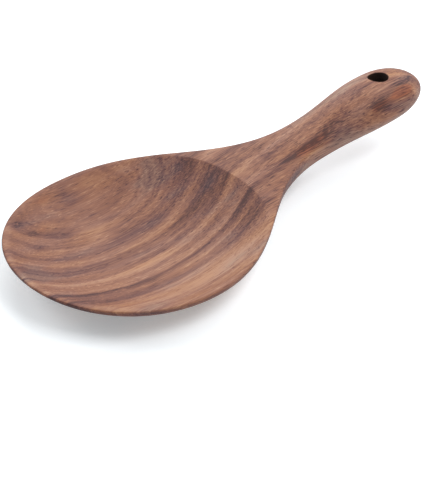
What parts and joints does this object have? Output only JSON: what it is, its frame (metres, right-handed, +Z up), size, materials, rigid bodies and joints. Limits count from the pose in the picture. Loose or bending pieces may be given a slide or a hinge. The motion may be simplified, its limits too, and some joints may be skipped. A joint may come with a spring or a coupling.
{
  "type": "rice paddle",
  "caption": "Carved wooden rice paddle with a round shallow bowl, a waisted neck and a rounded handle with a hanging hole.",
  "frame": {"origin": "on the table under the middle of the paddle's length and width, with the paddle lying on its bowl", "axes": "+X along the paddle from the bowl's tip to the handle's end, +Y across it, +Z up out of the hollow"},
  "size_m": [0.22, 0.103, 0.0314],
  "materials": {
    "wood": "oiled satin, brown hardwood with dark growth bands"
  },
  "bodies": {
    "root": {"paddle": "wood"}
  },
  "joints": []
}
